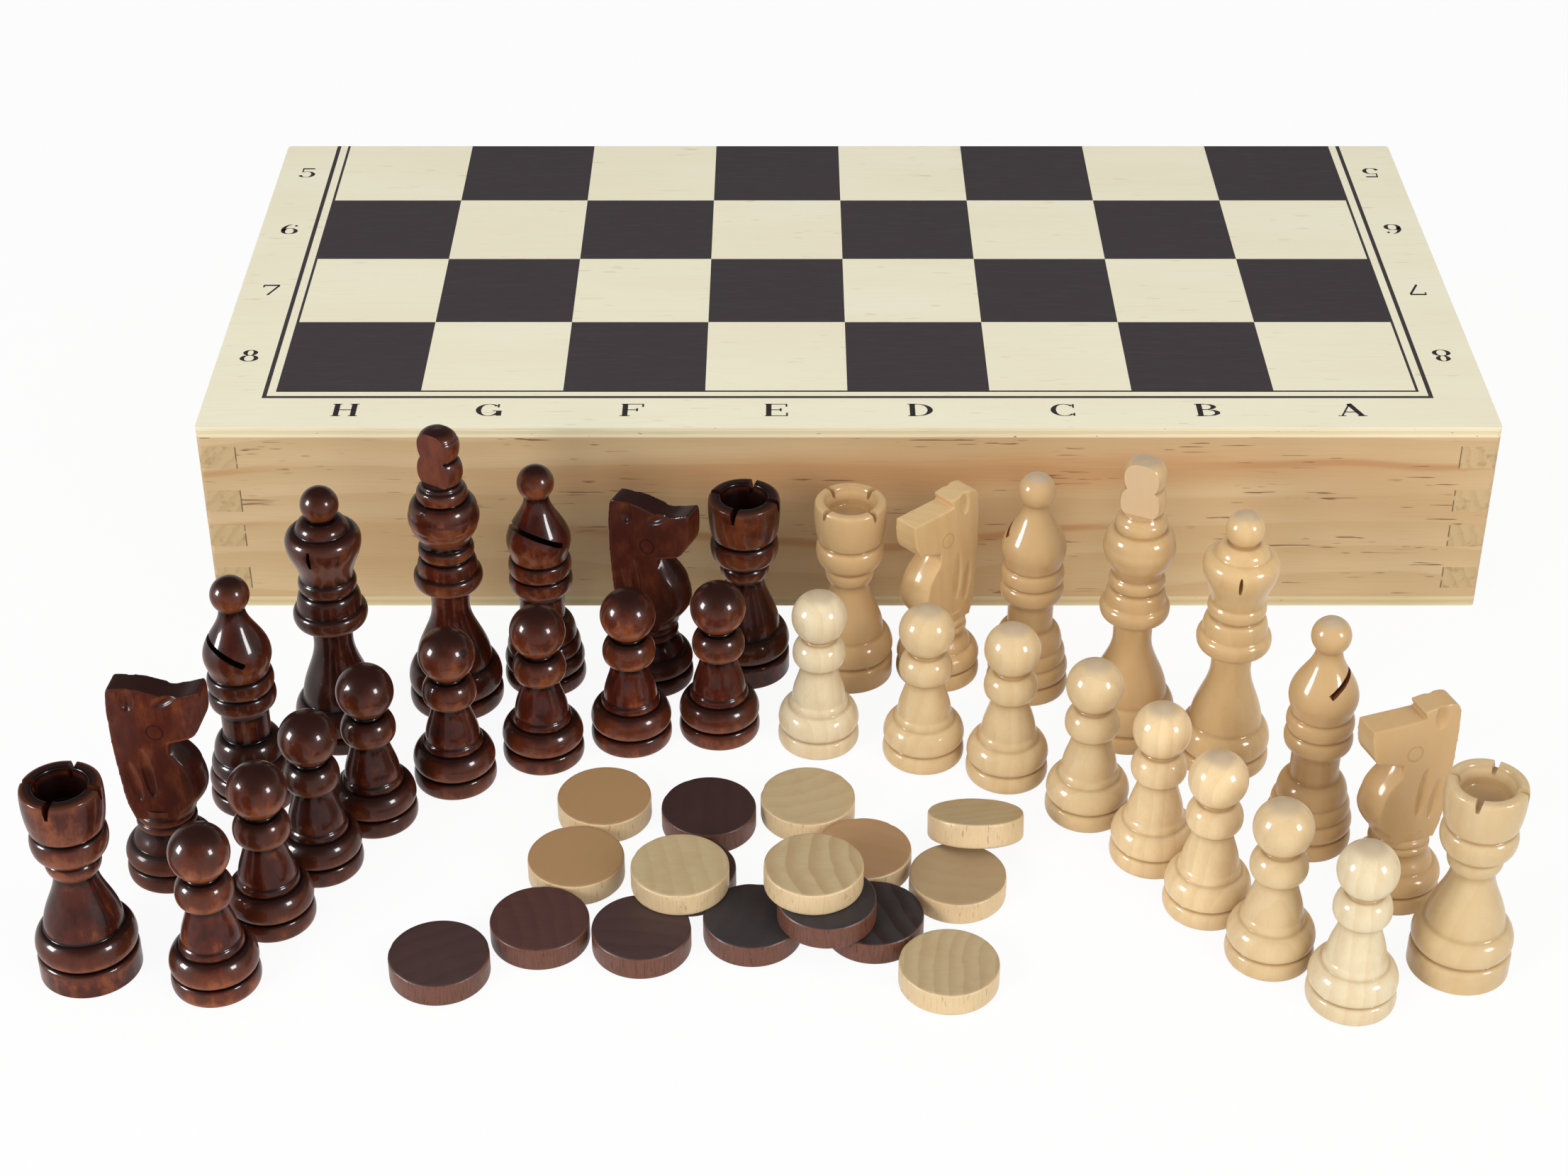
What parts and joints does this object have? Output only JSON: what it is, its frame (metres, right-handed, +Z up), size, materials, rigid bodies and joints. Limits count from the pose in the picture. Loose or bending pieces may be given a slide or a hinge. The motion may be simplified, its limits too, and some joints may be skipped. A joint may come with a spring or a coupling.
{
  "type": "games compendium box",
  "caption": "Folding wooden games box with a chess and draughts board on its outside, shut, with its turned chess men and a heap of draughts discs set out before it.",
  "frame": {"origin": "on the table, in the middle of the shut box's foot", "axes": "+X along the box's hinged side to the right as seen from the men, +Y from the men towards the hinges, +Z up"},
  "size_m": [0.3563, 0.3385, 0.08],
  "materials": {
    "pine": "clear satin lacquer over pine",
    "plywood_below": "clear satin lacquer over birch plywood",
    "printed_board": "birch plywood printed with a dark grey board, satin",
    "hinge_brass": "brushed brass",
    "steel_pin": "drawn steel",
    "magnet": "nickel-plated",
    "dark_men": "dark red-brown stain under gloss lacquer",
    "light_men": "clear gloss lacquer over pale wood",
    "dark_disc": "dark stain, satin",
    "light_disc": "clear satin lacquer over pale wood"
  },
  "bodies": {
    "lower_half": {"lower_front_wall": "pine", "lower_back_wall": "pine", "lower_left_wall": "pine", "lower_right_wall": "pine", "lower_board": "plywood_below", "hinge_lower_leaves": "hinge_brass", "hinge_pins": "steel_pin", "lower_hinge_screws": "hinge_brass", "lower_magnets": "magnet"},
    "upper_half": {"upper_front_wall": "pine", "upper_back_wall": "pine", "upper_left_wall": "pine", "upper_right_wall": "pine", "upper_board": "printed_board", "hinge_upper_leaves": "hinge_brass", "upper_hinge_screws": "hinge_brass", "upper_magnets": "magnet"},
    "dark_rook_1": {"dark_rook_1": "dark_men"},
    "dark_knight_1": {"dark_knight_1": "dark_men"},
    "dark_bishop_1": {"dark_bishop_1": "dark_men"},
    "dark_queen": {"dark_queen": "dark_men"},
    "dark_king": {"dark_king": "dark_men"},
    "dark_bishop_2": {"dark_bishop_2": "dark_men"},
    "dark_knight_2": {"dark_knight_2": "dark_men"},
    "dark_rook_2": {"dark_rook_2": "dark_men"},
    "dark_pawn_1": {"dark_pawn_1": "dark_men"},
    "dark_pawn_2": {"dark_pawn_2": "dark_men"},
    "dark_pawn_3": {"dark_pawn_3": "dark_men"},
    "dark_pawn_4": {"dark_pawn_4": "dark_men"},
    "dark_pawn_5": {"dark_pawn_5": "dark_men"},
    "dark_pawn_6": {"dark_pawn_6": "dark_men"},
    "dark_pawn_7": {"dark_pawn_7": "dark_men"},
    "dark_pawn_8": {"dark_pawn_8": "dark_men"},
    "light_rook_1": {"light_rook_1": "light_men"},
    "light_knight_1": {"light_knight_1": "light_men"},
    "light_bishop_1": {"light_bishop_1": "light_men"},
    "light_queen": {"light_queen": "light_men"},
    "light_king": {"light_king": "light_men"},
    "light_bishop_2": {"light_bishop_2": "light_men"},
    "light_knight_2": {"light_knight_2": "light_men"},
    "light_rook_2": {"light_rook_2": "light_men"},
    "light_pawn_1": {"light_pawn_1": "light_men"},
    "light_pawn_2": {"light_pawn_2": "light_men"},
    "light_pawn_3": {"light_pawn_3": "light_men"},
    "light_pawn_4": {"light_pawn_4": "light_men"},
    "light_pawn_5": {"light_pawn_5": "light_men"},
    "light_pawn_6": {"light_pawn_6": "light_men"},
    "light_pawn_7": {"light_pawn_7": "light_men"},
    "light_pawn_8": {"light_pawn_8": "light_men"},
    "dark_disc_single": {"dark_disc_single": "dark_disc"},
    "dark_disc_pair": {"dark_disc_pair": "dark_disc"},
    "dark_disc_heap": {"dark_disc_heap": "dark_disc"},
    "dark_disc_stacked": {"dark_disc_stacked": "dark_disc"},
    "light_disc_pair_left": {"light_disc_pair_left": "light_disc"},
    "light_disc_pair_back": {"light_disc_pair_back": "light_disc"},
    "light_disc_front": {"light_disc_front": "light_disc"},
    "light_disc_prop": {"light_disc_prop": "light_disc"},
    "light_disc_stacked": {"light_disc_stacked": "light_disc"},
    "light_disc_top": {"light_disc_top": "light_disc"},
    "light_disc_leaning": {"light_disc_leaning": "light_disc"}
  },
  "joints": [
    {"name": "box_fold", "type": "hinge", "parent": "lower_half", "child": "upper_half", "pos_m": [0, 0.0853, 0.028], "axis": [-1, 0, 0], "range_deg": [0, 180]},
    {"name": "lift_dark_rook_1", "type": "slide", "parent": "lower_half", "child": "dark_rook_1", "axis": [0, 0, 1], "range_m": [0, 0.04]},
    {"name": "lift_dark_knight_1", "type": "slide", "parent": "lower_half", "child": "dark_knight_1", "axis": [0, 0, 1], "range_m": [0, 0.04]},
    {"name": "lift_dark_bishop_1", "type": "slide", "parent": "lower_half", "child": "dark_bishop_1", "axis": [0, 0, 1], "range_m": [0, 0.04]},
    {"name": "lift_dark_queen", "type": "slide", "parent": "lower_half", "child": "dark_queen", "axis": [0, 0, 1], "range_m": [0, 0.04]},
    {"name": "lift_dark_king", "type": "slide", "parent": "lower_half", "child": "dark_king", "axis": [0, 0, 1], "range_m": [0, 0.04]},
    {"name": "lift_dark_bishop_2", "type": "slide", "parent": "lower_half", "child": "dark_bishop_2", "axis": [0, 0, 1], "range_m": [0, 0.04]},
    {"name": "lift_dark_knight_2", "type": "slide", "parent": "lower_half", "child": "dark_knight_2", "axis": [0, 0, 1], "range_m": [0, 0.04]},
    {"name": "lift_dark_rook_2", "type": "slide", "parent": "lower_half", "child": "dark_rook_2", "axis": [0, 0, 1], "range_m": [0, 0.04]},
    {"name": "lift_dark_pawn_1", "type": "slide", "parent": "lower_half", "child": "dark_pawn_1", "axis": [0, 0, 1], "range_m": [0, 0.04]},
    {"name": "lift_dark_pawn_2", "type": "slide", "parent": "lower_half", "child": "dark_pawn_2", "axis": [0, 0, 1], "range_m": [0, 0.04]},
    {"name": "lift_dark_pawn_3", "type": "slide", "parent": "lower_half", "child": "dark_pawn_3", "axis": [0, 0, 1], "range_m": [0, 0.04]},
    {"name": "lift_dark_pawn_4", "type": "slide", "parent": "lower_half", "child": "dark_pawn_4", "axis": [0, 0, 1], "range_m": [0, 0.04]},
    {"name": "lift_dark_pawn_5", "type": "slide", "parent": "lower_half", "child": "dark_pawn_5", "axis": [0, 0, 1], "range_m": [0, 0.04]},
    {"name": "lift_dark_pawn_6", "type": "slide", "parent": "lower_half", "child": "dark_pawn_6", "axis": [0, 0, 1], "range_m": [0, 0.04]},
    {"name": "lift_dark_pawn_7", "type": "slide", "parent": "lower_half", "child": "dark_pawn_7", "axis": [0, 0, 1], "range_m": [0, 0.04]},
    {"name": "lift_dark_pawn_8", "type": "slide", "parent": "lower_half", "child": "dark_pawn_8", "axis": [0, 0, 1], "range_m": [0, 0.04]},
    {"name": "lift_light_rook_1", "type": "slide", "parent": "lower_half", "child": "light_rook_1", "axis": [0, 0, 1], "range_m": [0, 0.04]},
    {"name": "lift_light_knight_1", "type": "slide", "parent": "lower_half", "child": "light_knight_1", "axis": [0, 0, 1], "range_m": [0, 0.04]},
    {"name": "lift_light_bishop_1", "type": "slide", "parent": "lower_half", "child": "light_bishop_1", "axis": [0, 0, 1], "range_m": [0, 0.04]},
    {"name": "lift_light_queen", "type": "slide", "parent": "lower_half", "child": "light_queen", "axis": [0, 0, 1], "range_m": [0, 0.04]},
    {"name": "lift_light_king", "type": "slide", "parent": "lower_half", "child": "light_king", "axis": [0, 0, 1], "range_m": [0, 0.04]},
    {"name": "lift_light_bishop_2", "type": "slide", "parent": "lower_half", "child": "light_bishop_2", "axis": [0, 0, 1], "range_m": [0, 0.04]},
    {"name": "lift_light_knight_2", "type": "slide", "parent": "lower_half", "child": "light_knight_2", "axis": [0, 0, 1], "range_m": [0, 0.04]},
    {"name": "lift_light_rook_2", "type": "slide", "parent": "lower_half", "child": "light_rook_2", "axis": [0, 0, 1], "range_m": [0, 0.04]},
    {"name": "lift_light_pawn_1", "type": "slide", "parent": "lower_half", "child": "light_pawn_1", "axis": [0, 0, 1], "range_m": [0, 0.04]},
    {"name": "lift_light_pawn_2", "type": "slide", "parent": "lower_half", "child": "light_pawn_2", "axis": [0, 0, 1], "range_m": [0, 0.04]},
    {"name": "lift_light_pawn_3", "type": "slide", "parent": "lower_half", "child": "light_pawn_3", "axis": [0, 0, 1], "range_m": [0, 0.04]},
    {"name": "lift_light_pawn_4", "type": "slide", "parent": "lower_half", "child": "light_pawn_4", "axis": [0, 0, 1], "range_m": [0, 0.04]},
    {"name": "lift_light_pawn_5", "type": "slide", "parent": "lower_half", "child": "light_pawn_5", "axis": [0, 0, 1], "range_m": [0, 0.04]},
    {"name": "lift_light_pawn_6", "type": "slide", "parent": "lower_half", "child": "light_pawn_6", "axis": [0, 0, 1], "range_m": [0, 0.04]},
    {"name": "lift_light_pawn_7", "type": "slide", "parent": "lower_half", "child": "light_pawn_7", "axis": [0, 0, 1], "range_m": [0, 0.04]},
    {"name": "lift_light_pawn_8", "type": "slide", "parent": "lower_half", "child": "light_pawn_8", "axis": [0, 0, 1], "range_m": [0, 0.04]},
    {"name": "lift_dark_disc_single", "type": "slide", "parent": "lower_half", "child": "dark_disc_single", "axis": [0, 0, 1], "range_m": [0, 0.015]},
    {"name": "lift_dark_disc_pair", "type": "slide", "parent": "lower_half", "child": "dark_disc_pair", "axis": [0, 0, 1], "range_m": [0, 0.015]},
    {"name": "lift_dark_disc_heap", "type": "slide", "parent": "lower_half", "child": "dark_disc_heap", "axis": [0, 0, 1], "range_m": [0, 0.015]},
    {"name": "lift_dark_disc_stacked", "type": "slide", "parent": "dark_disc_heap", "child": "dark_disc_stacked", "axis": [0, 0, 1], "range_m": [0, 0.015]},
    {"name": "lift_light_disc_pair_left", "type": "slide", "parent": "lower_half", "child": "light_disc_pair_left", "axis": [0, 0, 1], "range_m": [0, 0.015]},
    {"name": "lift_light_disc_pair_back", "type": "slide", "parent": "lower_half", "child": "light_disc_pair_back", "axis": [0, 0, 1], "range_m": [0, 0.015]},
    {"name": "lift_light_disc_front", "type": "slide", "parent": "lower_half", "child": "light_disc_front", "axis": [0, 0, 1], "range_m": [0, 0.015]},
    {"name": "lift_light_disc_prop", "type": "slide", "parent": "lower_half", "child": "light_disc_prop", "axis": [0, 0, 1], "range_m": [0, 0.015]},
    {"name": "lift_light_disc_stacked", "type": "slide", "parent": "dark_disc_heap", "child": "light_disc_stacked", "axis": [0, 0, 1], "range_m": [0, 0.015]},
    {"name": "lift_light_disc_top", "type": "slide", "parent": "dark_disc_stacked", "child": "light_disc_top", "axis": [0, 0, 1], "range_m": [0, 0.015]},
    {"name": "lift_light_disc_leaning", "type": "slide", "parent": "light_disc_prop", "child": "light_disc_leaning", "axis": [0, 0, 1], "range_m": [0, 0.015]}
  ]
}
